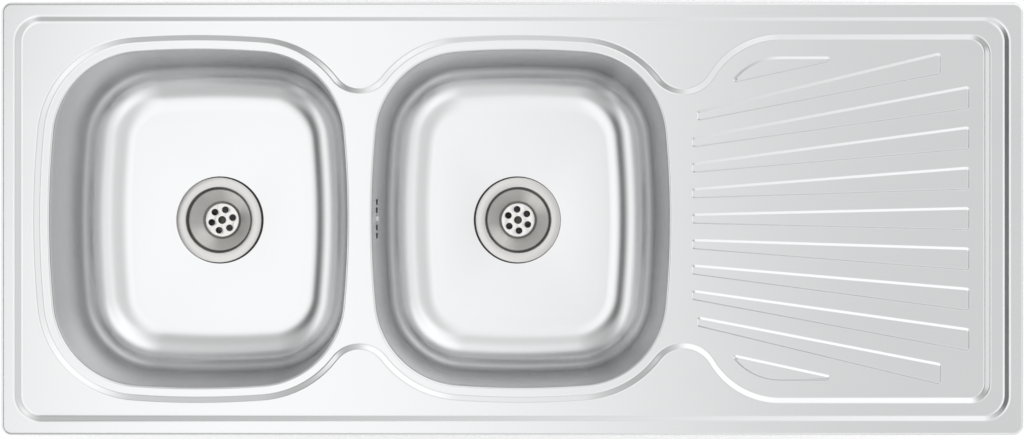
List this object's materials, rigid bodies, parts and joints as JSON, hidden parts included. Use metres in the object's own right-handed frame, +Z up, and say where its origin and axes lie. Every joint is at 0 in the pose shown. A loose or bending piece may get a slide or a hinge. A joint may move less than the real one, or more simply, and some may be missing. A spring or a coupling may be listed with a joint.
{
  "type": "double bowl kitchen sink",
  "caption": "Inset steel kitchen sink: two deep-drawn bowls, ribbed drainer, strainer wastes, overflow and swing clamps under the rim.",
  "frame": {"origin": "middle of the sink's outline in the plane of the worktop's top face, where the rim seal lies", "axes": "+X along the sink towards the drainer, +Y towards the rear edge, +Z up out of the worktop"},
  "size_m": [1.18, 0.5, 0.2458],
  "materials": {
    "satin_steel": "fine satin brushed along the length",
    "strainer_steel": "turned satin with polished cone",
    "screw_steel": "polished",
    "bracket_steel": "mill finish with spot welds",
    "zinc_steel": "dull zinc plate",
    "brass": "turned",
    "black_rubber": "matt moulded",
    "grey_foam": "closed-cell foam strip",
    "damping_sheet": "matt bitumen sheet with pressed grid",
    "waste_plastic": "moulded polypropylene, fine grain"
  },
  "bodies": {
    "sink": {"deck": "satin_steel", "left_bowl": "satin_steel", "right_bowl": "satin_steel", "rim_seal": "grey_foam", "drainer_pad": "damping_sheet", "left_bowl_pad": "damping_sheet", "right_bowl_pad": "damping_sheet", "earth_tag": "bracket_steel", "clamp_brackets": "bracket_steel", "overflow_chamber": "waste_plastic", "overflow_gasket": "black_rubber", "overflow_screw": "screw_steel", "overflow_pipe": "waste_plastic", "overflow_top_nut": "waste_plastic", "overflow_bottom_nut": "waste_plastic", "overflow_seals": "black_rubber", "left_strainer_cup": "strainer_steel", "left_flange_gasket": "black_rubber", "left_waste_screw": "screw_steel", "left_screw_insert": "brass", "left_body_gasket": "black_rubber", "left_waste_body": "waste_plastic", "right_strainer_cup": "strainer_steel", "right_flange_gasket": "black_rubber", "right_waste_screw": "screw_steel", "right_screw_insert": "brass", "right_body_gasket": "black_rubber", "right_waste_body": "waste_plastic"},
    "screw_1": {"clamp_screw_1": "zinc_steel"},
    "jaw_1": {"clamp_jaw_1": "zinc_steel"},
    "screw_2": {"clamp_screw_2": "zinc_steel"},
    "jaw_2": {"clamp_jaw_2": "zinc_steel"},
    "screw_3": {"clamp_screw_3": "zinc_steel"},
    "jaw_3": {"clamp_jaw_3": "zinc_steel"},
    "screw_4": {"clamp_screw_4": "zinc_steel"},
    "jaw_4": {"clamp_jaw_4": "zinc_steel"},
    "screw_5": {"clamp_screw_5": "zinc_steel"},
    "jaw_5": {"clamp_jaw_5": "zinc_steel"},
    "screw_6": {"clamp_screw_6": "zinc_steel"},
    "jaw_6": {"clamp_jaw_6": "zinc_steel"},
    "screw_7": {"clamp_screw_7": "zinc_steel"},
    "jaw_7": {"clamp_jaw_7": "zinc_steel"},
    "screw_8": {"clamp_screw_8": "zinc_steel"},
    "jaw_8": {"clamp_jaw_8": "zinc_steel"}
  },
  "joints": [
    {"name": "clamp_1_lift", "type": "slide", "parent": "sink", "child": "screw_1", "axis": [0, 0, 1], "range_m": [0, 0.018]},
    {"name": "clamp_1_swing", "type": "hinge", "parent": "screw_1", "child": "jaw_1", "pos_m": [-0.45, 0.2201, -0.05125], "axis": [0, 0, 1], "range_deg": [0, 90]},
    {"name": "clamp_2_lift", "type": "slide", "parent": "sink", "child": "screw_2", "axis": [0, 0, 1], "range_m": [0, 0.018]},
    {"name": "clamp_2_swing", "type": "hinge", "parent": "screw_2", "child": "jaw_2", "pos_m": [0, 0.2201, -0.05125], "axis": [0, 0, 1], "range_deg": [0, 90]},
    {"name": "clamp_3_lift", "type": "slide", "parent": "sink", "child": "screw_3", "axis": [0, 0, 1], "range_m": [0, 0.018]},
    {"name": "clamp_3_swing", "type": "hinge", "parent": "screw_3", "child": "jaw_3", "pos_m": [0.45, 0.2201, -0.05125], "axis": [0, 0, 1], "range_deg": [0, 90]},
    {"name": "clamp_4_lift", "type": "slide", "parent": "sink", "child": "screw_4", "axis": [0, 0, 1], "range_m": [0, 0.018]},
    {"name": "clamp_4_swing", "type": "hinge", "parent": "screw_4", "child": "jaw_4", "pos_m": [-0.45, -0.2201, -0.05125], "axis": [0, 0, 1], "range_deg": [0, 90]},
    {"name": "clamp_5_lift", "type": "slide", "parent": "sink", "child": "screw_5", "axis": [0, 0, 1], "range_m": [0, 0.018]},
    {"name": "clamp_5_swing", "type": "hinge", "parent": "screw_5", "child": "jaw_5", "pos_m": [0, -0.2201, -0.05125], "axis": [0, 0, 1], "range_deg": [0, 90]},
    {"name": "clamp_6_lift", "type": "slide", "parent": "sink", "child": "screw_6", "axis": [0, 0, 1], "range_m": [0, 0.018]},
    {"name": "clamp_6_swing", "type": "hinge", "parent": "screw_6", "child": "jaw_6", "pos_m": [0.45, -0.2201, -0.05125], "axis": [0, 0, 1], "range_deg": [0, 90]},
    {"name": "clamp_7_lift", "type": "slide", "parent": "sink", "child": "screw_7", "axis": [0, 0, 1], "range_m": [0, 0.018]},
    {"name": "clamp_7_swing", "type": "hinge", "parent": "screw_7", "child": "jaw_7", "pos_m": [0.5596, 0, -0.05125], "axis": [0, 0, 1], "range_deg": [0, 90]},
    {"name": "clamp_8_lift", "type": "slide", "parent": "sink", "child": "screw_8", "axis": [0, 0, 1], "range_m": [0, 0.018]},
    {"name": "clamp_8_swing", "type": "hinge", "parent": "screw_8", "child": "jaw_8", "pos_m": [-0.55995, 0, -0.05125], "axis": [0, 0, 1], "range_deg": [0, 90]}
  ]
}
